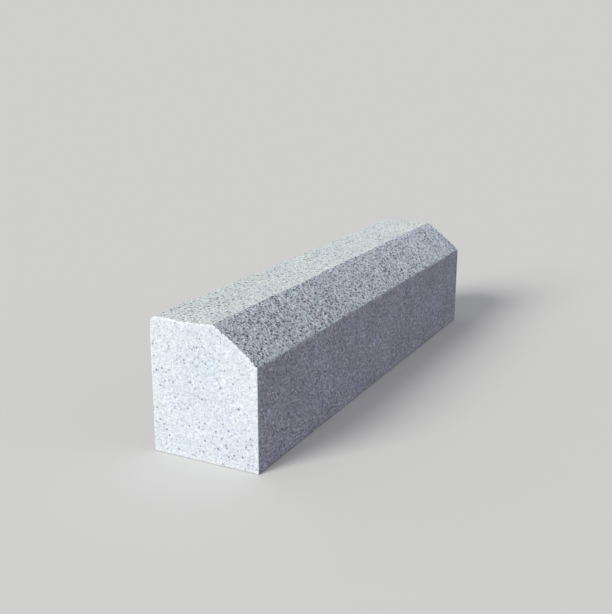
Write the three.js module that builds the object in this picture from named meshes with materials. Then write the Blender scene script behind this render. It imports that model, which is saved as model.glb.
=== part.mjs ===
// Granite kerb stone with a splayed front: one block of stone, lying on its bed.
//
// The bed, the back, the front and both ends are sawn flat. The top is flat too, and
// fine-hammered. A splay takes the front corner off the top, so that a wheel or a foot
// meets a slope and not a corner. It is hammered coarser, and the hammering leaves it
// slightly crowned. The arris along the back of the top is rounded to a true radius.
// Every other arris is only eased, because a sharp edge of granite spalls.
//
// Units are millimetres and +Z is up. The origin is the centre of the bed.
// X runs across the stone, from its back (-X) to its splayed front (+X).
// Y runs along the stone, from one end to the other.

import * as THREE from 'three';

// The block
const LENGTH = 1000; // end to end, along the line of the kerb
const WIDTH = 206; // back to front
const HEIGHT = 244; // bed to top

// The splay
const SPLAY_RUN = 80; // across the top, measured in from the front
const SPLAY_DROP = 60; // down the front, measured from the top
const SPLAY_CROWN = 2; // how far the middle of the splay stands proud of a flat cut

// The arrises
const BACK_ARRIS_RADIUS = 12; // along the back of the top
const LONG_ARRIS_RADIUS = 2; // every other arris along the stone
const END_ARRIS_EASE = 1; // the arrises round both ends

// How finely the curves are divided
const CURVE_SEGMENTS = 6; // on the crown; the arc of a long arris has twice as many
const END_ARRIS_SEGMENTS = 2;

// Pale grey granite, matt all over
const granite = new THREE.MeshStandardMaterial({
  name: 'granite',
  color: 0xb9bcc4,
  roughness: 0.85,
  metalness: 0,
});

// The arc that rounds one corner of an anticlockwise outline. It is tangent to the side
// that comes from `before` and to the side that goes on to `after`.
function cornerArc(before, corner, after, radius) {
  const toBefore = before.clone().sub(corner).normalize();
  const toAfter = after.clone().sub(corner).normalize();
  const inward = toBefore.clone().add(toAfter).normalize();
  const halfAngle = Math.acos(toBefore.dot(toAfter)) / 2;
  const tangentLength = radius / Math.tan(halfAngle);
  return {
    radius,
    centre: corner.clone().addScaledVector(inward, radius / Math.sin(halfAngle)),
    start: corner.clone().addScaledVector(toBefore, tangentLength),
    end: corner.clone().addScaledVector(toAfter, tangentLength),
  };
}

// Draws such an arc, after a straight side from wherever the outline has got to.
function drawArc(outline, { radius, centre, start, end }) {
  const startAngle = start.clone().sub(centre).angle();
  const endAngle = end.clone().sub(centre).angle();
  outline.absarc(centre.x, centre.y, radius, startAngle, endAngle, false);
}

// The section across the stone: x across it and y up, anticlockwise from the bed.
function kerbSection() {
  const front = WIDTH / 2;
  const back = -WIDTH / 2;
  const bedBack = new THREE.Vector2(back, 0);
  const bedFront = new THREE.Vector2(front, 0);
  const splayFoot = new THREE.Vector2(front, HEIGHT - SPLAY_DROP);
  const splayHead = new THREE.Vector2(front - SPLAY_RUN, HEIGHT);
  const topBack = new THREE.Vector2(back, HEIGHT);

  // The crown is one shallow parabola. Its control point stands off the middle of a
  // flat splay by twice the crown, and both arrises of the splay are tangent to it.
  const outward = new THREE.Vector2(SPLAY_DROP, SPLAY_RUN).normalize();
  const crownControl = splayFoot.clone().lerp(splayHead, 0.5);
  crownControl.addScaledVector(outward, 2 * SPLAY_CROWN);

  const bedBackArris = cornerArc(topBack, bedBack, bedFront, LONG_ARRIS_RADIUS);
  const bedFrontArris = cornerArc(bedBack, bedFront, splayFoot, LONG_ARRIS_RADIUS);
  const footArris = cornerArc(bedFront, splayFoot, crownControl, LONG_ARRIS_RADIUS);
  const headArris = cornerArc(crownControl, splayHead, topBack, LONG_ARRIS_RADIUS);
  const backArris = cornerArc(splayHead, topBack, bedBack, BACK_ARRIS_RADIUS);

  const outline = new THREE.Shape();
  drawArc(outline, bedBackArris);
  drawArc(outline, bedFrontArris);
  drawArc(outline, footArris);
  const crownEnd = headArris.start;
  outline.quadraticCurveTo(crownControl.x, crownControl.y, crownEnd.x, crownEnd.y);
  drawArc(outline, headArris);
  drawArc(outline, backArris);
  outline.closePath();
  return outline;
}

// The stone: the section run along its whole length. At both ends the section draws in
// by the ease as it comes to the end face, so the ease follows every face round.
function kerbGeometry() {
  const geometry = new THREE.ExtrudeGeometry(kerbSection(), {
    depth: LENGTH - 2 * END_ARRIS_EASE,
    curveSegments: CURVE_SEGMENTS,
    bevelEnabled: true,
    bevelThickness: END_ARRIS_EASE,
    bevelSize: END_ARRIS_EASE,
    bevelOffset: -END_ARRIS_EASE,
    bevelSegments: END_ARRIS_SEGMENTS,
  });
  geometry.translate(0, 0, END_ARRIS_EASE - LENGTH / 2);
  geometry.rotateX(Math.PI / 2); // the section stands up, and its run lies along Y
  return geometry;
}

const kerbStone = new THREE.Mesh(kerbGeometry(), granite);
kerbStone.name = 'kerb_stone';

const group = new THREE.Group();
group.name = 'granite_kerb';
group.add(kerbStone);

export default group;
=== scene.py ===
# %% [markdown]
# # A granite kerb stone
#
# A kerb stone is one block of granite, sawn to size and then worked by hand or by machine.
# This one is about a metre long. Its bed, back, front and ends keep the flat skin of the
# saw. Its top is fine-hammered, and the slope along the front of the top, the splay, is
# hammered coarser, so that it grips a tyre or a shoe.
#
# The lesson builds the stone as one closed mesh, roughens it where the hammer has been,
# and then makes one granite that takes a different finish on each face.

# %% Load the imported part
import math
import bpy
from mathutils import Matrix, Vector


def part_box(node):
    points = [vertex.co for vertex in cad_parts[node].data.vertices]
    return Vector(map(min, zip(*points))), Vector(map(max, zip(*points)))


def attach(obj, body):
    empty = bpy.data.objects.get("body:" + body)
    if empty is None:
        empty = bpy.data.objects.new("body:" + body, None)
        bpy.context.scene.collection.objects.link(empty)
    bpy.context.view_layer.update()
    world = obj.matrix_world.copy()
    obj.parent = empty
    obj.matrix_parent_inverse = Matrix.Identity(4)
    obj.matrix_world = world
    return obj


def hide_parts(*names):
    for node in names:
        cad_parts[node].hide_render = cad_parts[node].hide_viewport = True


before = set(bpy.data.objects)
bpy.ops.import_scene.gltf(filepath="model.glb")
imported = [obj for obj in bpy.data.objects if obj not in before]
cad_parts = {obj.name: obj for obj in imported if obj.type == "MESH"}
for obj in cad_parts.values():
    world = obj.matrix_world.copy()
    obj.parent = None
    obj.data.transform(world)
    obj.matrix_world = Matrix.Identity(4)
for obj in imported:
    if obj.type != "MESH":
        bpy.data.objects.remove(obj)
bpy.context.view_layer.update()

from types import SimpleNamespace

import bpy
import numpy as np
from mathutils import Vector

MM = 0.001  # metres in a millimetre: lengths below are in millimetres, as a mason gives them

# %% [markdown]
# ## The sizes of the stone
#
# The overall size is read from the solid that the part was packed with, so the dressed
# stone can't drift away from it. The splay, the rounded arris along the back and the small
# eases on the other edges have their own sizes. An arris is the mason's word for the edge
# where two faces meet.

# %% Sizes
low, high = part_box("kerb_stone")
WIDTH, LENGTH, HEIGHT = (high - low) / MM
BACK, FRONT = low.x / MM, high.x / MM
NEAR, FAR = low.y / MM, high.y / MM

SPLAY_RUN = 80.0  # across the top, measured in from the front
SPLAY_DROP = 60.0  # down the front, measured from the top
SPLAY_CROWN = 2.0  # how far the middle of the splay stands proud of a flat cut
BACK_ARRIS_RADIUS = 12.0
LONG_ARRIS_RADIUS = 2.0  # every other arris along the stone
END_ARRIS_EASE = 1.0  # the arrises round both ends

print(f"the stone is {WIDTH:.0f} wide, {LENGTH:.0f} long and {HEIGHT:.0f} high")

# %% [markdown]
# ## The section
#
# Cut across, the stone shows the same outline anywhere along it. A modeller could extrude
# a flat polygon and bevel it, but a bevel spreads its vertices where it likes, and the
# hammered faces need an even, fine grid. So the outline is walked once, anticlockwise from
# the bed, in runs: one for each face, and an arc for each arris. Each point keeps the
# direction that faces out of the stone there, because that is where the tools came from.

# %% Walk along a face and round an arris
HAMMERED_PITCH = 2.1  # between points on a hammered face, fine enough to hold its pits
SAWN_PITCH = 24.0  # between points in the middle of a flat sawn face
ARRIS_PITCH = 0.8  # between points next to an arris, where chips are small
PITCH_GROWTH = 1.8  # how fast the points spread out on leaving an arris


def unit(vector):
    return vector / np.hypot(*vector)


def graded(length, widest):
    """Stops from 0 to length, close together at both ends and widest in the middle."""
    steps = []
    pitch = ARRIS_PITCH
    while pitch < widest and 2 * (sum(steps) + pitch) < length:
        steps.append(pitch)
        pitch *= PITCH_GROWTH
    middle = length - 2 * sum(steps)
    count = max(1, round(middle / widest))
    return np.cumsum([0.0] + steps + [middle / count] * count + steps[::-1])


def face_run(start, control, end, widest):
    """Points on a face, and the direction out at each. A control off its line crowns the face."""
    stops = graded(np.hypot(*(end - start)), widest)
    share = (stops / stops[-1])[:, None]
    curve = (1 - share) ** 2 * start + 2 * share * (1 - share) * control + share**2 * end
    slope = (1 - share) * (control - start) + share * (end - control)
    slope /= np.hypot(slope[:, 0], slope[:, 1])[:, None]
    return curve, np.stack([slope[:, 1], -slope[:, 0]], 1)


def rounded(before, corner, after, radius=LONG_ARRIS_RADIUS, widest=ARRIS_PITCH):
    """Points on the arc that rounds a corner, tangent to the sides before and after it."""
    to_before, to_after = unit(before - corner), unit(after - corner)
    half_angle = math.acos(to_before @ to_after) / 2
    centre = corner + unit(to_before + to_after) * radius / math.sin(half_angle)
    first = corner + to_before * radius / math.tan(half_angle) - centre
    whole_turn = math.pi - 2 * half_angle
    steps = max(2, round(whole_turn * radius / widest))
    turn = np.linspace(0, whole_turn, steps + 1) + math.atan2(first[1], first[0])
    out = np.stack([np.cos(turn), np.sin(turn)], 1)
    return centre + radius * out, out


# %% Set out the corners and walk round them
def point(x, z):
    return np.array([x, z], float)


bed_back, bed_front = point(BACK, 0), point(FRONT, 0)
splay_foot, splay_head = point(FRONT, HEIGHT - SPLAY_DROP), point(FRONT - SPLAY_RUN, HEIGHT)
top_back = point(BACK, HEIGHT)
splay_outward = unit(point(SPLAY_DROP, SPLAY_RUN))
crown_control = (splay_foot + splay_head) / 2 + splay_outward * 2 * SPLAY_CROWN

CORNERS = [  # each arris, the face that follows it, and how far apart the points of the face are
    ("bed_back_arris", rounded(top_back, bed_back, bed_front), "bed", SAWN_PITCH),
    ("bed_front_arris", rounded(bed_back, bed_front, splay_foot), "front", SAWN_PITCH),
    ("foot_arris", rounded(bed_front, splay_foot, crown_control), "splay", HAMMERED_PITCH),
    ("head_arris", rounded(crown_control, splay_head, top_back), "top", HAMMERED_PITCH),
    (
        "back_arris", rounded(splay_head, top_back, bed_back, BACK_ARRIS_RADIUS, HAMMERED_PITCH),
        "back", SAWN_PITCH,
    ),
]
RUNS = []
for (name, arris, face, pitch), (_, next_arris, _, _) in zip(CORNERS, CORNERS[1:] + CORNERS[:1]):
    start, end = arris[0][-1], next_arris[0][0]
    control = crown_control if face == "splay" else (start + end) / 2
    RUNS += [(name, arris), (face, face_run(start, control, end, pitch))]

# Each run ends where the next one starts, so its last point is left to the next.
outline = np.concatenate([points[:-1] for _, (points, _) in RUNS])
square_out = np.concatenate([directions[:-1] for _, (_, directions) in RUNS])
run_of = np.concatenate([[name] * (len(points) - 1) for name, (points, _) in RUNS])
step_lengths = np.hypot(*(np.roll(outline, -1, axis=0) - outline).T)
girth = np.concatenate([[0.0], np.cumsum(step_lengths)])  # distance walked round the section
COLUMNS = len(outline)

print(f"the section has {COLUMNS} points round a girth of {girth[-1]:.0f} mm")

# %% [markdown]
# ## Which way a tool cuts in
#
# Every tool cuts inwards, but straight in from an arris is a quarrel between its two faces:
# points that sit close together on the arc would cross each other on the way in, and the
# mesh would fold. So the direction turns slowly, over some millimetres before and after
# each arris. It is the average of the true directions near by, the nearest counting most.

# %% The direction of cutting at each point of the section
TURNING_REACH = 6.0  # how far from an arris the direction starts to turn

gap = np.abs(girth[:-1, None] - girth[None, :-1])
gap = np.minimum(gap, girth[-1] - gap)
weight = np.exp(-((gap / TURNING_REACH) ** 2)) * (step_lengths + np.roll(step_lengths, 1))
outward = weight @ square_out
outward /= np.hypot(outward[:, 0], outward[:, 1])[:, None]

widest_turn = np.degrees(np.arccos(np.clip((outward * square_out).sum(1), -1, 1))).max()
print(f"the direction leaves the true one by {widest_turn:.0f} degrees at most")

# %% [markdown]
# ## Random numbers that repeat
#
# Stone is irregular, but the script has to give the same stone every time. So all its
# randomness comes from tables of numbers drawn with a fixed seed. A height that changes
# smoothly is a blend of the four nearest numbers in such a table. A pit is a bowl round a
# random place in each cell of a grid, and where bowls overlap, the deepest one shows.

# %% Smooth heights and round pits
TABLE = 512  # cells in a table each way, before it repeats
LEAST_REACH, REACH_SPREAD = 0.45, 0.4  # the least reach of a pit, in cells, and how much more
LEAST_BITE = 0.35  # the depth of the shallowest pit, as a share of the deepest


def random_tables(seed, count):
    return np.random.default_rng(seed).random((count, TABLE, TABLE))


def smooth_heights(across, along, pitch, seed):
    """Heights from 0 to 1 that change over about one pitch."""
    (table,) = random_tables(seed, 1)
    x, y = across / pitch, along / pitch
    cell_x, cell_y = np.floor(x).astype(int), np.floor(y).astype(int)
    x, y = x - cell_x, y - cell_y
    x, y = x * x * (3 - 2 * x), y * y * (3 - 2 * y)

    def at(step_x, step_y):
        return table[(cell_x + step_x) % TABLE, (cell_y + step_y) % TABLE]

    here = at(0, 0) * (1 - x) + at(1, 0) * x
    beyond = at(0, 1) * (1 - x) + at(1, 1) * x
    return here * (1 - y) + beyond * y


def pit_depths(across, along, pitch, seed):
    """Depths from 0 to 1: bowls of random reach and bite, about one to each square pitch."""
    place_x, place_y, reach, bite = random_tables(seed, 4)
    x, y = across / pitch, along / pitch
    cell_x, cell_y = np.floor(x).astype(int), np.floor(y).astype(int)
    deepest = np.zeros(np.broadcast(x, y).shape)
    for step_x in (-1, 0, 1):
        for step_y in (-1, 0, 1):
            cell = (cell_x + step_x) % TABLE, (cell_y + step_y) % TABLE
            gap_x = cell_x + step_x + place_x[cell] - x
            gap_y = cell_y + step_y + place_y[cell] - y
            radius = LEAST_REACH + REACH_SPREAD * reach[cell]
            bowl = np.clip(1 - (gap_x**2 + gap_y**2) / radius**2, 0, 1)
            deepest = np.maximum(deepest, bowl * (LEAST_BITE + (1 - LEAST_BITE) * bite[cell]))
    return deepest


# %% [markdown]
# ## Lines along the stone
#
# The section is repeated at even steps along the stone. Close to each end it draws in by
# the ease of the end arris, along a quarter of a circle. Every point of the grid is kept as
# two directions: how far along the stone it is, and where on the section it is.

# %% Rows and columns
ROW_PITCH = 2.2
EASE_STEPS = 2  # rows round an end arris

ease_turn = np.linspace(0, math.pi / 2, EASE_STEPS + 1)
ease_along = END_ARRIS_EASE * (1 - np.cos(ease_turn))
ease_inset = END_ARRIS_EASE * (1 - np.sin(ease_turn))
plain_length = LENGTH - 2 * END_ARRIS_EASE
plain_rows = round(plain_length / ROW_PITCH)
plain_along = END_ARRIS_EASE + plain_length * np.arange(1, plain_rows) / plain_rows
row_along = np.concatenate([ease_along, plain_along, LENGTH - ease_along[::-1]])
row_inset = np.concatenate([ease_inset, np.zeros(plain_rows - 1), ease_inset[::-1]])
ROWS = len(row_along)

along = np.tile(row_along[:, None], (1, COLUMNS))
around = np.tile(girth[:-1], (ROWS, 1))
grid = np.empty((ROWS, COLUMNS, 3))
grid[:, :, 0] = outline[:, 0] - outward[:, 0] * row_inset[:, None]
grid[:, :, 1] = NEAR + along
grid[:, :, 2] = outline[:, 1] - outward[:, 1] * row_inset[:, None]
facing = np.stack([outward[:, 0], np.zeros(COLUMNS), outward[:, 1]], 1)

print(f"the long faces are a grid of {ROWS} rows by {COLUMNS} columns")

# %% [markdown]
# ## What the hammer leaves
#
# A bush hammer has a head of steel points, and each blow crushes small round pits into the
# face. On the splay the pits are wide and over a millimetre deep. On the top they are finer
# and shallower. Both faces also wander a little, because a hammer follows the hand, and it
# has taken a little of the crown off the splay between the ends. The sawn faces only
# wander by a hair.
#
# All of this cuts into the stone and never adds to it, so the dressed stone stays inside
# the sawn one. It is done in the mesh, and not only in the shading, so that the arrises
# come out ragged where pits run over them.

# %% Sizes of the hammer marks
COARSE_PIT_PITCH, COARSE_PIT_DEPTH = 5.6, 1.3
FINE_PIT_PITCH, FINE_PIT_DEPTH = 4.4, 0.45
HAMMER_WANDER_PITCH, HAMMER_WANDER = 42.0, 0.4
SAW_WANDER_PITCH, SAW_WANDER = 90.0, 0.15
FOOT_REACH, FOOT_BLOWS = 6.0, 0.4  # how near the foot the blows get lighter, and how light they get
FOOT_WANDER, FOOT_WANDER_PITCH = 1.3, 40.0  # how far the foot has gone down the front
HEAD_WANDER, HEAD_WANDER_PITCH = 2.0, 60.0  # how far the head of the splay has gone back, slowly
HEAD_TEETH, HEAD_TEETH_PITCH = 0.6, 5.0  # and from one hammer mark to the next
HEAD_REACH = 40.0  # how far down the splay that working back reaches
FLATTER, FLATTER_FROM = 1.2, 80.0  # how much of the crown is dressed off, this far in from the ends

print(f"coarse pits go {COARSE_PIT_DEPTH} mm deep, and fine ones {FINE_PIT_DEPTH} mm")

# %% [markdown]
# ## Where the hammering starts and stops
#
# A hammered face does not end on a ruled line. At the head of the splay the coarse pits
# have eaten back into the top: slowly by up to two millimetres, and by small teeth from one
# hammer mark to the next. At the foot the mason strikes lighter, so as not to break the
# arris. Each kind of marking gets a share at each point, from 0 to 1, and the shares say
# where it fades into the next.

# %% The share of each kind of marking
def extent(name):
    """Where a run starts and ends, as distances walked round the section."""
    members = np.flatnonzero(run_of == name)
    return girth[members[0]], girth[members[-1] + 1]


foot_start, foot_end = extent("foot_arris")
head_start, head_end = extent("head_arris")
round_start, round_end = extent("back_arris")

gone_back = (
    HEAD_WANDER * smooth_heights(np.zeros(ROWS), row_along, HEAD_WANDER_PITCH, seed=165) ** 2
    + HEAD_TEETH * smooth_heights(np.zeros(ROWS), row_along, HEAD_TEETH_PITCH, seed=52)
)[:, None]
past_head = (around - head_end) / gone_back
before_foot = (foot_start - around) / FOOT_REACH
coarse_share = np.clip(1 - np.maximum(past_head, before_foot), 0, 1)
worked_back = np.clip(np.minimum(1 - past_head, 1 - (head_start - around) / HEAD_REACH), 0, 1)
fine_share = np.interp(around, [head_start, head_end, round_start, round_end], [0, 1, 1, 0])
hammered_share = np.maximum(coarse_share, fine_share)

print(f"the head of the splay has gone back {gone_back.min():.1f} to {gone_back.max():.1f} mm")

# %% [markdown]
# ## Cutting the marks in
#
# Pits at the foot of the splay need care. Cut straight in, they would take a chamfer off
# the flat front below them, and the crisp line between the two faces would blur. On the
# real stone the piece that breaks off there leaves the front flat and the line a little
# lower. So close to the foot the cut slides down the plane of the front, and further up it
# turns to go straight in.

# %% Cut the grid
past_foot = np.clip((around - foot_end) / FOOT_REACH, 0, 1)
blows = coarse_share * (FOOT_BLOWS + (1 - FOOT_BLOWS) * past_foot)
coarse_cut = blows * COARSE_PIT_DEPTH * pit_depths(
    np.maximum(around, foot_end), along, COARSE_PIT_PITCH, seed=11
)
gone_down = FOOT_WANDER * smooth_heights(np.zeros(ROWS), row_along, FOOT_WANDER_PITCH, seed=61) ** 2
coarse_cut += coarse_share * (1 - past_foot) * gone_down[:, None]
down_the_front = np.array([0.0, 0.0, -1 / splay_outward[1]])
coarse_way = (1 - past_foot)[:, :, None] * down_the_front - past_foot[:, :, None] * facing

up_splay = np.clip((around - foot_end) / (head_start - foot_end), 0, 1)
from_end = np.minimum(along, LENGTH - along)
crown_off = FLATTER * 4 * up_splay * (1 - up_splay) * np.clip(from_end / FLATTER_FROM, 0, 1)

dressing = (
    crown_off
    + fine_share * FINE_PIT_DEPTH * pit_depths(around, along, FINE_PIT_PITCH, seed=12)
    + hammered_share * HAMMER_WANDER * smooth_heights(around, along, HAMMER_WANDER_PITCH, seed=13)
    + (1 - hammered_share) * SAW_WANDER * smooth_heights(around, along, SAW_WANDER_PITCH, seed=14)
    + worked_back * gone_back * SPLAY_DROP / math.hypot(SPLAY_RUN, SPLAY_DROP)
)
grid += coarse_cut[:, :, None] * coarse_way - dressing[:, :, None] * facing

deepest_cut = (dressing + coarse_cut).max()
print(f"the dressing cuts up to {deepest_cut:.2f} mm into the block")

# %% [markdown]
# ## Chipped arrises
#
# Handling and hammering knock flakes off the edges. A flake takes the corner away and runs
# out on both faces, so points near an arris move inwards, most at the arris itself. At the
# foot of the splay the flakes go down the front, because the hammer came down on to it.
# Heights under a threshold leave the arris whole, so chips come only here and there.

# %% Chip the long arrises
SAWN_CHIP_LENGTH, HAMMERED_CHIP_LENGTH, FOOT_CHIP_LENGTH = 9.0, 5.0, 14.0
LONG_SHARE = 0.6  # long and short heights make a chip together, the long ones more
CHIP_ONSET = 0.35  # the share of random heights that leave an arris whole
CHIP_REACH, CHIP_SPREAD = 1.0, 1.6  # a chip's reach on each face: at least, and for its depth

LONG_CHIPS = {  # the deepest chip on each arris, how long chips are, and which way they go in
    "bed_back_arris": (0.9, SAWN_CHIP_LENGTH, (1.0, 1.0)),
    "bed_front_arris": (0.6, SAWN_CHIP_LENGTH, (-1.0, 1.0)),
    "foot_arris": (1.2, FOOT_CHIP_LENGTH, (-0.1, -1.0)),
    "head_arris": (0.4, HAMMERED_CHIP_LENGTH, (-0.3, -1.0)),
    "back_arris": (0.5, SAWN_CHIP_LENGTH, (1.0, -1.0)),
}


def chip_depths(along_arris, deepest, length, seed):
    """How far an arris has gone back at each place along it."""
    lane = np.zeros_like(along_arris)
    long_heights = smooth_heights(lane, along_arris, length, seed)
    short_heights = smooth_heights(lane, along_arris, length / 2, seed + 1)
    heights = LONG_SHARE * long_heights + (1 - LONG_SHARE) * short_heights
    return deepest * np.clip((heights - CHIP_ONSET) / (1 - CHIP_ONSET), 0, 1)


def chip_share(distance, depth):
    """How much of a chip's depth is left at a distance from its arris."""
    return np.clip(1 - distance / (CHIP_REACH + CHIP_SPREAD * depth), 0, 1)


def gap_round(name):
    """How far round the section each column is from the middle of an arris, the short way."""
    half = girth[-1] / 2
    return np.abs((girth[:-1] - sum(extent(name)) / 2 + half) % girth[-1] - half)


for number, (name, (deepest, length, inward)) in enumerate(LONG_CHIPS.items()):
    depth = chip_depths(row_along, deepest, length, seed=20 + 2 * number)[:, None]
    moved = depth * chip_share(gap_round(name), depth)
    grid[:, :, [0, 2]] += moved[:, :, None] * unit(np.array(inward))
    print(f"{name}: chips up to {depth.max():.1f} mm")

# %% [markdown]
# ## Chips and hollows round the ends
#
# The arris round an end is chipped too, and most where the face beside it is hammered. At
# the near end many light knocks have also worn two places hollow, at the head of the splay
# and at the back corner. A hollow is shallow and wide, and runs out slowly along the stone.
# A sharp cut there would read as a bevel.

# %% Chip the arrises round both ends
END_CHIP_SAWN, END_CHIP_HAMMERED = 0.25, 1.4
half_turn = math.sqrt(0.5)  # a chip at a square arris goes in equally by both faces

HOLLOWS = [  # where hammering has worn down the near arris: the place, the reach and the depth
    (point(-33, HEIGHT), 42.0, 2.5),
    (point(BACK, HEIGHT), 34.0, 1.2),
]
HOLLOW_RUN = 36.0  # how far along the stone a hollow runs out

for place, reach, depth in HOLLOWS:
    gap = np.hypot(*(outline - place).T)
    worn = depth * np.clip(1 - (gap / reach) ** 4, 0, 1)
    grid -= (worn * np.clip(1 - row_along / HOLLOW_RUN, 0, 1)[:, None])[:, :, None] * facing

end_chips = END_CHIP_SAWN + (END_CHIP_HAMMERED - END_CHIP_SAWN) * hammered_share[0]
near_chips = chip_depths(girth[:-1], end_chips, HAMMERED_CHIP_LENGTH, seed=41)
far_chips = chip_depths(girth[:-1], end_chips, HAMMERED_CHIP_LENGTH, seed=43)

for depth, distance, inward in ((near_chips, row_along, 1), (far_chips, LENGTH - row_along, -1)):
    moved = half_turn * depth * chip_share(distance[:, None], depth)
    grid -= moved[:, :, None] * facing
    grid[:, :, 1] += inward * moved

print(f"the end arrises are chipped up to {max(near_chips.max(), far_chips.max()):.1f} mm")

# %% [markdown]
# ## Closing the ends
#
# A single many-sided face could close each end, but then its chips could not run out over
# the face. So each end is closed by rings that shrink from the ragged arris to the middle,
# close together at first, and by a fan of triangles inside the last ring.

# %% Rings of the two end faces
RING_DEPTHS = (0.8, 1.8, 3.4, 6.0, 11.0, 22.0, 45.0, 75.0)  # from the arris towards the middle
middle_of_end = point((BACK + FRONT) / 2, (HEIGHT - SPLAY_DROP / 2) / 2)


def end_rings(arris, end_at, inward, depths):
    """Rings of points on an end face, from the arris inwards, and last its middle."""
    flat = arris[:, [0, 2]]
    to_middle = middle_of_end - flat
    reach = np.hypot(to_middle[:, 0], to_middle[:, 1])[:, None]
    rings = []
    for ring_depth in RING_DEPTHS:
        place = flat + to_middle * ring_depth / reach
        sunk = half_turn * depths * chip_share(ring_depth, depths)
        rings.append(np.stack([place[:, 0], end_at + inward * sunk, place[:, 1]], 1))
    rings.append([[middle_of_end[0], end_at, middle_of_end[1]]])
    return np.concatenate(rings)


near_rings = end_rings(grid[0], NEAR, 1, near_chips)
far_rings = end_rings(grid[-1], FAR, -1, far_chips)
print(f"each end face has {len(RING_DEPTHS)} rings")

# %% [markdown]
# ## One closed mesh, and its flat pattern
#
# The long faces, the rings and the fans share their points, so the stone is closed. The
# same loop that lists the faces also lays them out flat, as a paper pattern would be: the
# long faces side by side, and the two ends beside them, all at one scale. That pattern is
# the UV map that a colour bake uses, and nearly all of its area is stone.

# %% Faces and their places on the pattern
# The end's finish is pale partly from saw dust and partly as painted light for the sun on the ends.
CHIPPED = 0.45  # a deeper chip than this shows no saw-pale skin
PATTERN_GAP = 8.0  # between the pieces of the pattern, and round them
pattern_width = girth[-1] + WIDTH + 3 * PATTERN_GAP

column = np.arange(COLUMNS)
next_column = (column + 1) % COLUMNS


def strip_faces(first, second):
    """Four-sided faces between two closed rows of point numbers, seen from outside."""
    return np.stack([first, second, second[next_column], first[next_column]], 1)


grid_numbers = np.arange(ROWS * COLUMNS).reshape(ROWS, COLUMNS)
near_start = ROWS * COLUMNS
far_start = near_start + len(near_rings)
points = np.concatenate([grid.reshape(-1, 3), near_rings, far_rings])

# The name of the face that each part of the grid belongs to. It settles its finish.
long_names = np.tile(run_of, (ROWS - 1, 1))
long_names[(long_names == "top") & (past_head[:-1] < 1)] = "head_arris"
long_names[:EASE_STEPS, near_chips < CHIPPED] = "near_end"
long_names[-EASE_STEPS:, far_chips < CHIPPED] = "far_end"

quads, quad_places, quad_names = [], [], []
left, right = girth[:-1], girth[1:]
for row in range(ROWS - 1):
    here, there = LENGTH - row_along[row : row + 2]
    corners = ((left, here), (left, there), (right, there), (right, here))
    corners = [np.stack(np.broadcast_arrays(*corner), 1) for corner in corners]
    quads.append(strip_faces(grid_numbers[row], grid_numbers[row + 1]))
    quad_places.append(np.stack(corners, 1))
    quad_names.append(long_names[row])


def end_places(numbers, lift, turned):
    """Where points of an end face lie on the pattern, as seen from outside the stone."""
    across = FRONT - points[numbers, 0] if turned else points[numbers, 0] - BACK
    return np.stack([girth[-1] + PATTERN_GAP + across, points[numbers, 2] + lift], -1)


triangles, triangle_places = [], []
ENDS = (
    ("near_end", grid_numbers[0], near_start, 0.0, False),
    ("far_end", grid_numbers[-1], far_start, HEIGHT + PATTERN_GAP, True),
)
for name, arris_numbers, start, lift, turned in ENDS:
    loops = [arris_numbers] + [start + COLUMNS * ring + column for ring in range(len(RING_DEPTHS))]
    for outer, inner in zip(loops[:-1], loops[1:]):
        faces = strip_faces(inner, outer)
        quads.append(faces[:, ::-1] if turned else faces)
        quad_places.append(end_places(quads[-1], lift, turned))
        quad_names.append(np.full(COLUMNS, name))
    tip = np.full(COLUMNS, start + COLUMNS * len(RING_DEPTHS))
    fan = np.stack([tip, loops[-1], loops[-1][next_column]], 1)
    triangles.append(fan[:, ::-1] if turned else fan)
    triangle_places.append(end_places(triangles[-1], lift, turned))

quads, quad_places = np.concatenate(quads), np.concatenate(quad_places)
triangles, triangle_places = np.concatenate(triangles), np.concatenate(triangle_places)
face_names = np.concatenate(quad_names + [np.repeat([name for name, *_ in ENDS], COLUMNS)])
pattern = np.concatenate([quad_places.reshape(-1, 2), triangle_places.reshape(-1, 2)])
pattern = (pattern + PATTERN_GAP) / pattern_width

# %% Make the mesh
def add_object(name, data):
    new = bpy.data.objects.new(name, data)
    bpy.context.scene.collection.objects.link(new)
    return new


mesh = bpy.data.meshes.new("kerb_stone_dressed")
mesh.from_pydata((points * MM).tolist(), [], quads.tolist() + triangles.tolist())
mesh.uv_layers.new(name="OFBake").data.foreach_set("uv", pattern.ravel())
mesh.shade_smooth()
if mesh.validate(verbose=True):
    raise RuntimeError("the mesh had faces or edges that don't fit together")

stone = add_object("kerb_stone_dressed", mesh)
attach(stone, "root")
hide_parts("kerb_stone")

print(f"{len(mesh.vertices)} points, {2 * len(quads) + len(triangles)} triangles")
print(f"the pattern is {pattern_width:.0f} mm across")

# %% [markdown]
# ## How near each point is to an arris
#
# The finishes show worn, pale edges. A shader can't easily tell where an edge is, but the
# mesh knows, so each point stores a number: 1 on an arris, and less the further it is from
# the nearest one. The round back arris is left out, because the hammer dresses over it.

# %% Store the nearness to an arris
ARRIS_FALL = 6.0  # the distance over which the nearness falls to about a third


def nearness(distance):
    return np.exp(-distance / ARRIS_FALL)


gap = from_end
for name in ("bed_back_arris", "bed_front_arris", "foot_arris", "head_arris"):
    start, end = extent(name)
    gap = np.minimum(gap, np.clip(gap_round(name) - (end - start) / 2, 0, None))
grid_nearness = nearness(gap)
ring_nearness = np.append(np.repeat(nearness(np.array(RING_DEPTHS)), COLUMNS), 0.0)

stored = np.concatenate([grid_nearness.ravel(), ring_nearness, ring_nearness])
mesh.attributes.new("arris", "FLOAT", "POINT").data.foreach_set("value", stored)
print(f"{np.mean(grid_nearness > 0.3):.0%} of the points on the long faces are near an arris")

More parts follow.
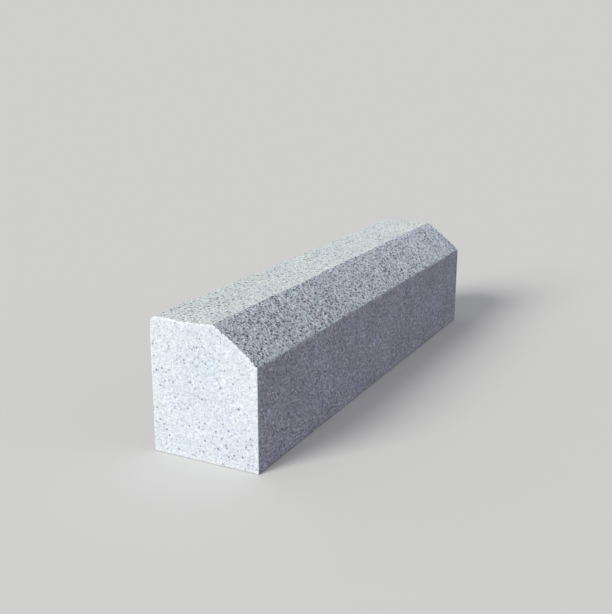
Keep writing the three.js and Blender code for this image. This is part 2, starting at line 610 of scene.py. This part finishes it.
# %% [markdown]
# ## Wiring nodes from a script
#
# A material is a tree of nodes. Written out in full, each node takes several lines: make
# it, set it, link it. A few helpers bring that down to one line a node, so a material reads
# like a recipe. Any input takes either a plain value or the output of another node.

# %% Helpers for node trees
def feed(socket, source):
    """Set an input to a plain value, or link another node's output to it."""
    if isinstance(source, bpy.types.NodeSocket):
        socket.id_data.links.new(source, socket)
    else:
        socket.default_value = source


def add_node(tree, kind, settings=None, **inputs):
    """A new node. Spaces in the names of its inputs are written as underscores."""
    node = tree.nodes.new("ShaderNode" + kind)
    for name, value in (settings or {}).items():
        setattr(node, name, value)
    for name, source in inputs.items():
        feed(node.inputs[name.replace("_", " ")], source)
    return node


def arithmetic(tree, operation, *sources, kind="Math"):
    """A sum, a product and so on: of numbers, or of places where the kind is VectorMath."""
    node = add_node(tree, kind, {"operation": operation})
    for socket, source in zip(node.inputs, sources):
        feed(socket, source)
    return node.outputs[0]


def times(tree, first, second):
    return arithmetic(tree, "MULTIPLY", first, second)


def stretched(tree, place, factors):
    """A place multiplied by one factor, or by one for each axis."""
    return arithmetic(tree, "MULTIPLY", place, factors, kind="VectorMath")


def in_cells(tree, place, size):
    """A place counted in cells of a size, and not in millimetres."""
    return stretched(tree, place, arithmetic(tree, "DIVIDE", 1.0, size))


def shaken(tree, place, scale, detail, reach):
    """A place moved about by a soft noise, so that what is drawn there has ragged edges."""
    noise = add_node(tree, "TexNoise", Vector=place, Scale=scale, Detail=detail).outputs["Color"]
    return arithmetic(tree, "MULTIPLY_ADD", noise, (reach,) * 3, place, kind="VectorMath")


def nearest_point(tree, place, scale=1.0):
    """How far the nearest of many random points is, and three random numbers of its own."""
    points = add_node(tree, "TexVoronoi", Vector=place, Scale=scale).outputs
    return points["Distance"], add_node(tree, "SeparateColor", Color=points["Color"]).outputs


def soft_step(tree, value, none, full):
    """0 at none and before it, 1 at full and beyond, and a smooth change between them."""
    settings = {"interpolation_type": "SMOOTHSTEP"}
    node = add_node(tree, "MapRange", settings, Value=value, From_Min=none, From_Max=full)
    return node.outputs["Result"]


def mixed(tree, share, first, second, blend="MIX"):
    """The first colour at a share of 0, the second at 1."""
    node = add_node(tree, "Mix", {"data_type": "RGBA", "blend_type": blend})
    for number, source in ((0, share), (6, first), (7, second)):  # the sockets for colours
        feed(node.inputs[number], source)
    return node.outputs[2]


def new_group(name, outputs, **inputs):
    """A node group that takes a place and some values, and gives numbers. It is still empty."""
    group = bpy.data.node_groups.new(name, "ShaderNodeTree")
    group.interface.new_socket("Place", in_out="INPUT", socket_type="NodeSocketVector")
    for title, value in inputs.items():
        kind = "NodeSocketVector" if isinstance(value, tuple) else "NodeSocketFloat"
        socket = group.interface.new_socket(title.replace("_", " "), in_out="INPUT", socket_type=kind)
        socket.default_value = value
    for title in outputs:
        group.interface.new_socket(title, in_out="OUTPUT", socket_type="NodeSocketFloat")
    taken = group.nodes.new("NodeGroupInput").outputs
    given = group.nodes.new("NodeGroupOutput").inputs
    return group, taken, given


# %% [markdown]
# ## The crystals of granite
#
# Granite is a mosaic of crystals a few millimetres across: pale feldspar, greyer and
# glassier quartz, and a little black mica. A smooth noise would give clouds, but crystals
# have edges. Voronoi cells have edges too: each is the region nearest to one random point,
# and has one random colour. The place is shaken by a noise first, so the edges are ragged,
# and about half of the cells are broken into smaller ones, because crystals come in all
# sizes. It is all worked out in space, so grains run on round an arris from face to face.

# %% Node group: crystals
RAGGEDNESS = 0.7  # how far the place is shaken, as a share of a crystal
SMALLER = 1.9  # how much smaller the small crystals are
BROKEN_SHARE = 0.5

crystals, taken, given = new_group("Crystals", ("Tone", "Kind"), Size=3.5)
place = in_cells(crystals, taken["Place"], taken["Size"])
place = shaken(crystals, place, scale=1.6, detail=1.0, reach=RAGGEDNESS)
_, large = nearest_point(crystals, place)
_, small = nearest_point(crystals, place, scale=SMALLER)
broken = arithmetic(crystals, "GREATER_THAN", large["Blue"], 1 - BROKEN_SHARE)
whole = arithmetic(crystals, "SUBTRACT", 1.0, broken)
for number, title in enumerate(("Tone", "Kind")):
    of_whole = times(crystals, large[number], whole)
    of_either = arithmetic(crystals, "MULTIPLY_ADD", small[number], broken, of_whole)
    feed(given[title], of_either)

print("crystals:", len(crystals.nodes), "nodes")

# %% [markdown]
# ## Flecks of mica
#
# Black mica sits in the stone as scattered flakes, and not as part of the even mosaic. So
# it has a group of its own: Voronoi points again, but a fleck shows only close to a point,
# and only at some of the points. Where the face cuts past a fleck, it shows small, and
# where it cuts through the middle, large. A wide noise moves the share of points that hold
# a fleck, so they crowd in one place and are sparse in another.

# %% Node group: mica flecks
FLECK_SHAKE = 2.4  # how far the place is shaken, in millimetres
LEAST_FLECK, FLECK_SPREAD = 0.6, 0.8  # the least reach of a fleck, and how much more others have
FLECK_CORE = 0.35  # a fleck is fully dark within this share of its reach
CROWDING = 0.035  # flecks are crowded or sparse over about the inverse of this, in millimetres
FEW_BLACK = 1.6  # above 1, so that fewer flecks are black than grey

flecks, taken, given = new_group(
    "Mica Flecks", ("Fleck", "Blackness"), Spacing=6.0, Share=0.5, Reach=1.6
)
place = shaken(flecks, taken["Place"], scale=0.45, detail=1.0, reach=FLECK_SHAKE)
distance, pick = nearest_point(flecks, in_cells(flecks, place, taken["Spacing"]))
distance = times(flecks, distance, taken["Spacing"])
reach = arithmetic(flecks, "MULTIPLY_ADD", pick["Green"], FLECK_SPREAD, LEAST_FLECK)
reach = times(flecks, taken["Reach"], reach)
round_fleck = soft_step(flecks, distance, reach, times(flecks, reach, FLECK_CORE))
crowd = add_node(flecks, "TexNoise", Vector=taken["Place"], Scale=CROWDING, Detail=1.0).outputs["Fac"]
crowd = arithmetic(flecks, "ADD", crowd, 0.5)  # about 1, because the noise is about a half
share_here = times(flecks, taken["Share"], crowd)
there = arithmetic(flecks, "LESS_THAN", pick["Red"], share_here)
feed(given["Fleck"], times(flecks, round_fleck, there))
feed(given["Blackness"], arithmetic(flecks, "POWER", pick["Blue"], FEW_BLACK))

print("mica flecks:", len(flecks.nodes), "nodes")

# %% [markdown]
# ## Small pits
#
# The mesh carries the larger hammer marks. Between them the steel points also bruise the
# crystals into pits of two or three millimetres, which would need a far finer mesh. They
# are a group that gives a depth, for the bump and for painted shade on the floor of a pit,
# and a rim, where crushed stone is pale.

# %% Node group: small pits
PIT_SHAKE = 0.8  # how far the place is shaken, as a share of a pit
FLOOR_END, PIT_EDGE = 0.1, 0.55  # where the floor of a pit ends, and the pit, as shares of its size
RIM_START, RIM_FULL = 0.5, 0.8

pits, taken, given = new_group("Small Pits", ("Depth", "Rim"), Size=3.0)
place = in_cells(pits, taken["Place"], taken["Size"])
distance, pick = nearest_point(pits, shaken(pits, place, scale=1.3, detail=2.0, reach=PIT_SHAKE))
bowl = soft_step(pits, distance, PIT_EDGE, FLOOR_END)
feed(given["Depth"], times(pits, bowl, pick["Green"]))
feed(given["Rim"], soft_step(pits, distance, RIM_START, RIM_FULL))

print("small pits:", len(pits.nodes), "nodes")

# %% [markdown]
# ## Drift, saw marks and worn arrises
#
# No face is one even grey from end to end. The stone drifts slightly paler and darker over
# a hand's breadth, and warmer and cooler over less than that, which soft noises give. Each
# finish brings out different clouds in the stone, by its own seeds. The group also gives how
# far along the stone a point is, so that the hammered faces can be painted paler towards the
# far end: that is painted light, not a change in the stone. A saw leaves faint straight
# lines: a noise pulled out long in one direction. And the arrises are pale where crystals
# have been bruised, but only in places, so the nearness that the mesh stores is broken up
# by a noise.

# %% Node groups: drift, saw marks and arris wear
LITTLE_CLOUD, FULL_CLOUD = 0.3, 0.7  # a noise seldom goes beyond these, so they become 0 and 1
COOL_SCALE = 2.3  # how much smaller the warm and cool clouds are than the pale ones
WEAR_SCALE = 0.22  # wear comes and goes over about the inverse of this, in millimetres
PATCH_START, PATCH_FULL = 0.35, 0.6
WORN_START, WORN_FULL = 0.15, 0.7

drift, taken, given = new_group(
    "Drift", ("Paleness", "Coolness", "Length"), Size=110.0, Pale_Seed=0.0, Cool_Seed=0.0
)
place = in_cells(drift, taken["Place"], taken["Size"])
for title, scale, seed in (("Paleness", 1.0, "Pale Seed"), ("Coolness", COOL_SCALE, "Cool Seed")):
    settings = {"noise_dimensions": "4D"}
    cloud = add_node(drift, "TexNoise", settings, Vector=place, W=taken[seed], Scale=scale, Detail=3.0)
    feed(given[title], soft_step(drift, cloud.outputs["Fac"], LITTLE_CLOUD, FULL_CLOUD))
apart = add_node(drift, "SeparateXYZ", Vector=taken["Place"]).outputs
feed(given["Length"], arithmetic(drift, "DIVIDE", apart["Y"], LENGTH))

saw_marks, taken, given = new_group("Saw Marks", ("Height",), Stretch=(0.4, 0.004, 0.4))
place = stretched(saw_marks, taken["Place"], taken["Stretch"])
lines = add_node(saw_marks, "TexNoise", Vector=place, Scale=1.0, Detail=2.0).outputs["Fac"]
feed(given["Height"], soft_step(saw_marks, lines, LITTLE_CLOUD, FULL_CLOUD))

arris_wear, taken, given = new_group("Arris Wear", ("Wear",), Nearness=0.0)
patches = add_node(arris_wear, "TexNoise", Vector=taken["Place"], Scale=WEAR_SCALE, Detail=2.0)
patches = soft_step(arris_wear, patches.outputs["Fac"], PATCH_START, PATCH_FULL)
worn = times(arris_wear, taken["Nearness"], patches)
feed(given["Wear"], soft_step(arris_wear, worn, WORN_START, WORN_FULL))

print("drift, saw marks and arris wear are ready")

# %% [markdown]
# ## One granite, six finishes: the mosaic
#
# Every face is the same stone, but a finish changes it a great deal. Stone that is crushed
# by a hammer or dusted by a saw is pale, and stone that is rubbed smooth is darker. Part of
# the difference between the faces is painted light, though: the ends, turned to the sun, are
# painted paler, the shaded front darker and more violet, and each face keeps some of the
# tint of the light on it. A material could be wired for each face, but then the stone would
# have to be changed in six places. So one recipe makes the granite, and each finish only
# gives it its own numbers.
# Lengths are in millimetres, and colours are linear: 0.5 sends back half of the light.
#
# The recipe starts with the mosaic. A saw smears the crystals along its way, so the place
# can be drawn out along the stone first. Here and there a crystal has split clean and shows
# nearly white: partly its own paleness, and partly a painted glint.

# %% The mosaic
def use_group(tree, group, **inputs):
    return add_node(tree, "Group", {"node_tree": group, "label": group.name}, **inputs).outputs


def grey(red, green, blue):
    return (red, green, blue, 1.0)


# nearly white: a crystal split clean, partly its own paleness and partly a painted glint
SPLIT_PALE_AND_GLINT = grey(0.95, 0.95, 0.97)  # a crystal that the saw or the hammer has split clean


def mosaic(tree, place, look):
    """Feldspar or quartz, each crystal a little paler or darker than the next."""
    grain = use_group(tree, crystals, Place=stretched(tree, place, look.drawn), Size=look.crystal)
    quartz = arithmetic(tree, "LESS_THAN", grain["Kind"], look.quartz_share)
    colour = mixed(tree, quartz, look.feldspar, look.quartz)
    shade = arithmetic(tree, "MULTIPLY_ADD", grain["Tone"], look.contrast, 1 - look.contrast / 2)
    colour = mixed(tree, 1.0, colour, shade, "MULTIPLY")
    # partly a painted glint: a few crystals are painted nearly white
    glint = arithmetic(tree, "GREATER_THAN", grain["Kind"], 1 - look.glints)
    return mixed(tree, glint, colour, SPLIT_PALE_AND_GLINT), grain["Tone"]


# %% [markdown]
# ## Layers over the mosaic
#
# What tools and years do to the crystals comes as layers, each over the colour so far. The
# floors of the pits are darkened as painted shade, and their rims are crushed pale. Mica
# shows through, each fleck more or less black. The arrises are worn pale, and last the whole
# face drifts. Each layer is a function from one colour to the next, so the recipe below
# shows their order.

# %% Bruises, mica, wear and drift
# painted shade: the floors of the small pits are darkened; their crushed pale rims are the stone's own
def pit_shaded_rim_crushed(tree, colour, pit_marks, look):
    colour = mixed(tree, times(tree, pit_marks["Depth"], look.pit_darkness), colour, look.mica)
    return mixed(tree, times(tree, pit_marks["Rim"], look.crushed), colour, look.dust)


def flecked(tree, colour, place, look):
    mica = use_group(
        tree, flecks, Place=place, Spacing=look.mica_spacing,
        Share=look.mica_share, Reach=look.mica_reach,
    )
    least = look.mica_least
    black = arithmetic(tree, "MULTIPLY_ADD", mica["Blackness"], 1 - least, least)
    return mixed(tree, times(tree, mica["Fleck"], black), colour, look.mica)


def worn_pale(tree, colour, place, look):
    nearness_here = add_node(tree, "Attribute", {"attribute_name": "arris"}).outputs["Fac"]
    wear = use_group(tree, arris_wear, Place=place, Nearness=nearness_here)["Wear"]
    return mixed(tree, times(tree, wear, look.wear), colour, look.dust)


def patchy(tree, colour, share, change):
    """A colour with a change of each part taken away where the share is 0, and added at 1."""
    less, more = grey(*(1 - part for part in change)), grey(*(1 + part for part in change))
    return mixed(tree, 1.0, colour, mixed(tree, share, less, more), "MULTIPLY")


def drifted_with_painted_far_light(tree, colour, place, look):
    pale_seed, cool_seed = look.seeds
    clouds = use_group(tree, drift, Place=place, Pale_Seed=pale_seed, Cool_Seed=cool_seed)
    colour = patchy(tree, colour, clouds["Paleness"], look.pale_patches)
    colour = patchy(tree, colour, clouds["Coolness"], look.tinted_patches)
    # painted light: the colour is made paler towards the far end, not a change in the stone
    painted_far_light = arithmetic(tree, "MULTIPLY_ADD", clouds["Length"], look.far_paler, 1.0)
    return mixed(tree, 1.0, colour, painted_far_light, "MULTIPLY")


# %% [markdown]
# ## The whole recipe
#
# The layers are laid in order on a Principled shader. Granite doesn't shine, but a rubbed
# face is smoother than a hammered one, and one crystal than the next, so the roughness
# follows the tone of the crystals. What is too small for the mesh goes to a bump: its
# heights are in millimetres too. Pits go down, and crystals and saw marks stand up.

# %% The recipe
ROUGHNESS_SPREAD = 0.12  # between the smoothest crystal and the roughest


def granite(name, look):
    material = bpy.data.materials.new(name)
    material.use_nodes = True
    tree = material.node_tree
    shader = tree.nodes["Principled BSDF"].inputs
    place = stretched(tree, add_node(tree, "TexCoord").outputs["Object"], (1 / MM,) * 3)

    pit_marks = use_group(tree, pits, Place=place, Size=look.pit)
    colour, tone = mosaic(tree, place, look)
    colour = pit_shaded_rim_crushed(tree, colour, pit_marks, look)
    colour = flecked(tree, colour, place, look)
    colour = worn_pale(tree, colour, place, look)
    feed(shader["Base Color"], drifted_with_painted_far_light(tree, colour, place, look))

    smoothest = look.roughness - ROUGHNESS_SPREAD / 2
    roughness = arithmetic(tree, "MULTIPLY_ADD", tone, ROUGHNESS_SPREAD, smoothest)
    feed(shader["Roughness"], roughness)

    marks = use_group(tree, saw_marks, Place=place, Stretch=look.saw_stretch)["Height"]
    height = times(tree, pit_marks["Depth"], -look.pit_depth)
    height = arithmetic(tree, "MULTIPLY_ADD", tone, look.relief, height)
    height = arithmetic(tree, "MULTIPLY_ADD", marks, look.saw_depth, height)
    bump = add_node(tree, "Bump", Height=height, Distance=MM)
    feed(shader["Normal"], bump.outputs["Normal"])
    return material


USUAL = dict(  # what most finishes share
    drawn=(1, 1, 1), glints=0.0, mica_least=0.15, pit=3.4, wear=0.5,
    far_paler=0.0, saw_stretch=(0.4, 0.004, 0.4), saw_depth=0.0,
)
finish_numbers = np.zeros(len(face_names), np.int32)


def finish(name, parts_of_stone, **numbers):
    """Make a granite, and give it to the faces of some parts of the stone."""
    chosen = np.isin(face_names, parts_of_stone)
    finish_numbers[chosen] = len(mesh.materials)
    mesh.materials.append(granite(name, SimpleNamespace(**{**USUAL, **numbers})))
    print(f"{name}: {np.count_nonzero(chosen)} faces")


# %% [markdown]
# ## The sawn ends
#
# The ends are the palest faces. Saw dust lies in their grain, so the crystals hardly differ,
# and most of what shows is the mica, with faint saw lines across. Their colours are also
# painted paler than the stone is, as painted light for the full sun on them.

# %% Finish of the ends
# painted light in part: the ends' colours are paler than the stone, for the sun on them
finish(
    "granite_sawn_end", ("near_end", "far_end"),
    crystal=2.9, quartz_share=0.35, contrast=0.36,
    feldspar=grey(0.842, 0.892, 0.947), quartz=grey(0.716, 0.786, 0.880),
    mica=grey(0.22, 0.24, 0.32), mica_spacing=5.2, mica_share=0.62, mica_reach=2.2,
    pit=3.0, pit_depth=0.05, pit_darkness=0.05, crushed=0.10, dust=grey(0.96, 0.97, 0.97),
    pale_patches=(0.031, 0.025, 0.016), tinted_patches=(-0.015, 0.0, 0.014), seeds=(42.0, 63.0),
    roughness=0.75, relief=0.05, saw_stretch=(0.01, 0.4, 0.5), saw_depth=0.05,
)

# %% [markdown]
# ## The hammered top and splay
#
# A fine hammer crushes the skin of the top to a pale grey, with black mica between. Its
# slight green is painted in: it is the tint of the light on the top, not of the stone. A
# coarse hammer breaks crystals instead of dusting them. So the splay keeps their full
# contrast, and the floors of its deep pits are darkened as painted shade: it is darker
# than the top, though it is the same stone. Both are painted a little paler towards the
# far end, as painted light.

# %% Finishes of the top and the splay
# painted light in part: the top's green tint, and on both faces painted pit shade and a paler far end
finish(
    "granite_fine_hammered", ("top", "back_arris"),
    crystal=2.4, quartz_share=0.4, glints=0.002, contrast=0.52,
    feldspar=grey(0.794, 0.886, 0.813), quartz=grey(0.541, 0.569, 0.628),
    mica=grey(0.061, 0.066, 0.098), mica_spacing=5.0, mica_share=0.6, mica_reach=2.5,
    mica_least=0.45, pit_depth=0.4, pit_darkness=0.2,
    crushed=0.25, dust=grey(0.83, 0.893, 0.84), wear=0.1, far_paler=0.09,
    pale_patches=(0.031, 0.033, 0.027), tinted_patches=(-0.004, -0.012, 0.018), seeds=(28.0, 56.0),
    roughness=0.9, relief=0.1,
)
finish(
    "granite_coarse_hammered", ("foot_arris", "splay", "head_arris"),
    crystal=2.3, quartz_share=0.45, glints=0.004, contrast=0.65,
    feldspar=grey(0.831, 0.898, 0.96), quartz=grey(0.461, 0.497, 0.58),
    mica=grey(0.015, 0.018, 0.038), mica_spacing=5.2, mica_share=0.75, mica_reach=2.8,
    mica_least=0.7, pit_depth=1.0, pit_darkness=0.3,
    crushed=0.4, dust=grey(0.857, 0.913, 0.943), wear=0.1, far_paler=0.18,
    pale_patches=(0.055, 0.06, 0.05), tinted_patches=(0.015, -0.026, 0.010), seeds=(14.0, 70.0),
    roughness=0.92, relief=0.2,
)

# %% [markdown]
# ## The sawn front and back
#
# The front is sawn and rubbed, and shows its crystals as a soft grain of greys, drawn out
# along the stone. Its colours are painted darker and more violet than the stone is: partly
# for the rubbed finish, and partly as painted shade with the violet tint of shade. The back
# is the same but greyer, so only what differs from the front is written out.

# %% Finishes of the front and the back
# painted shade in part: the front's colours are darker and more violet than the stone's own
rubbed_and_shaded = dict(
    crystal=2.8, drawn=(1, 0.65, 1), quartz_share=0.45, glints=0.003, contrast=0.78,
    feldspar=grey(0.747, 0.741, 0.86), quartz=grey(0.49, 0.485, 0.6),
    mica=grey(0.124, 0.123, 0.17), mica_spacing=6.0, mica_share=0.4, mica_reach=2.6,
    pit_depth=0.08, pit_darkness=0.15, crushed=0.15, dust=grey(0.876, 0.869, 0.934), wear=0.15,
    pale_patches=(0.075, 0.078, 0.09), tinted_patches=(-0.021, -0.008, 0.026), seeds=(56.0, 0.0),
    roughness=0.6, relief=0.08, saw_stretch=(0.4, 0.004, 0.5), saw_depth=0.04,
)
greyer = dict(
    drawn=(1, 0.75, 1), feldspar=grey(0.708, 0.735, 0.786), quartz=grey(0.466, 0.486, 0.537),
    dust=grey(0.87, 0.898, 0.918),
)
finish("granite_sawn_front", ("front",), **rubbed_and_shaded)
finish("granite_sawn_back", ("back",), **{**rubbed_and_shaded, **greyer})

# %% [markdown]
# ## The bed
#
# The bed lies in mortar and is never seen, so it is sawn roughly and left dull and dusty.
# Now every face has its finish, and the mesh is told which.

# %% Finish of the bed
finish(
    "granite_sawn_bed", ("bed_back_arris", "bed", "bed_front_arris"),
    crystal=3.4, drawn=(1, 0.75, 1), quartz_share=0.4, contrast=0.4,
    feldspar=grey(0.585, 0.603, 0.65), quartz=grey(0.444, 0.462, 0.524),
    mica=grey(0.15, 0.16, 0.21), mica_spacing=5.8, mica_share=0.6, mica_reach=2.2,
    pit_depth=0.12, pit_darkness=0.15, crushed=0.2, dust=grey(0.66, 0.68, 0.72),
    pale_patches=(0.06, 0.06, 0.06), tinted_patches=(-0.01, 0.0, 0.01), seeds=(7.0, 7.0),
    roughness=0.8, relief=0.08, saw_stretch=(0.5, 0.01, 0.5), saw_depth=0.15,
)

mesh.polygons.foreach_set("material_index", finish_numbers)
mesh.update()
print("all", len(finish_numbers), "faces have a finish")

# %% [markdown]
# ## Light, floor and camera
#
# A stone yard on a bright day has one strong light and a wide sky. A wide sun lamp, low
# over the near end, lights that end squarely, rakes along the hammered faces and leaves the
# front in shade. The world gives the even light of the sky. The sun is a trace warm and the
# sky a little blue, so the front looks cooler than it is. At their levels, a colour on a
# face turned to the light renders about as it is written.
#
# The floor is pale and plain, and takes the shadow. A floor that is as pale as that would
# also light the stone from below, as no ground does, so it sends less back than it shows.
# Where it ends, far off, the world shows the colour that the floor has in full light, so
# that no horizon shows.

# %% Light
SKY = 0.45 * Vector((0.965, 0.975, 1.07))  # light that a face gets from a whole open sky
SUN = 0.87 * Vector((1.01, 1.01, 0.98))  # light that a face gets when it is turned to the sun
SUN_WIDTH = 28.0  # degrees across: wide, so that shadows are soft
to_sun = Vector((-0.33, -0.80, 0.50)).normalized()
FLOOR_COLOUR = Vector((0.71, 0.705, 0.675))
FLOOR_GIVES = Vector((0.12, 0.12, 0.12))  # what it sends back on to the stone

sun = add_object("sun", bpy.data.lights.new("sun", "SUN"))
sun.data.energy = math.pi
sun.data.color = SUN
sun.data.angle = math.radians(SUN_WIDTH)
sun.rotation_euler = to_sun.to_track_quat("Z", "Y").to_euler()

world = bpy.data.worlds.new("open_sky")
bpy.context.scene.world = world
world.use_nodes = True
tree = world.node_tree
sky = tree.nodes["Background"]
feed(sky.inputs["Color"], grey(*SKY))
backdrop_colour = FLOOR_COLOUR * (SKY + SUN * to_sun.z)
backdrop = add_node(tree, "Background", Color=grey(*backdrop_colour))
ray = add_node(tree, "LightPath").outputs
seen = arithmetic(tree, "MAXIMUM", ray["Is Camera Ray"], ray["Is Glossy Ray"])
seen = arithmetic(tree, "MAXIMUM", seen, ray["Is Transmission Ray"])
chosen = add_node(tree, "MixShader", Fac=seen)
feed(chosen.inputs[1], sky.outputs["Background"])
feed(chosen.inputs[2], backdrop.outputs["Background"])
feed(tree.nodes["World Output"].inputs["Surface"], chosen.outputs["Shader"])
print("the backdrop is", [round(part, 3) for part in backdrop_colour])

# %% Floor
FLOOR_REACH = 40.0  # metres from the stone to the edges of the floor

floor_mesh = bpy.data.meshes.new("floor")
floor_corners = [(x * FLOOR_REACH, y * FLOOR_REACH, 0) for x, y in ((-1, -1), (1, -1), (1, 1), (-1, 1))]
floor_mesh.from_pydata(floor_corners, [], [(0, 1, 2, 3)])
floor = add_object("floor", floor_mesh)

paint = bpy.data.materials.new("floor_paint")
paint.use_nodes = True
matt = paint.node_tree.nodes["Principled BSDF"].inputs
eye = add_node(paint.node_tree, "LightPath").outputs["Is Camera Ray"]
colour = mixed(paint.node_tree, eye, grey(*FLOOR_GIVES), grey(*FLOOR_COLOUR))
feed(matt["Base Color"], colour)
feed(matt["Roughness"], 1.0)
feed(matt["Specular IOR Level"], 0.0)
floor_mesh.materials.append(paint)
print("the floor is", 2 * FLOOR_REACH, "m square")

# %% Camera
AZIMUTH, ELEVATION = 27.23, 15.77  # degrees round from the near end, and up
DISTANCE = 1920.1
AIM = Vector((-56.7, -22.4, 143.3))
LENS = 53.39  # on the usual 36 mm sensor

turn, rise = math.radians(AZIMUTH), math.radians(ELEVATION)
back = Vector((math.sin(turn) * math.cos(rise), -math.cos(turn) * math.cos(rise), math.sin(rise)))
camera = add_object("camera", bpy.data.cameras.new("camera"))
camera.location = (AIM + back * DISTANCE) * MM
camera.rotation_euler = back.to_track_quat("Z", "Y").to_euler()
camera.data.lens = LENS
bpy.context.scene.camera = camera

bpy.context.scene.view_settings.view_transform = "Standard"
print("the camera stands at", [round(part, 3) for part in camera.location])
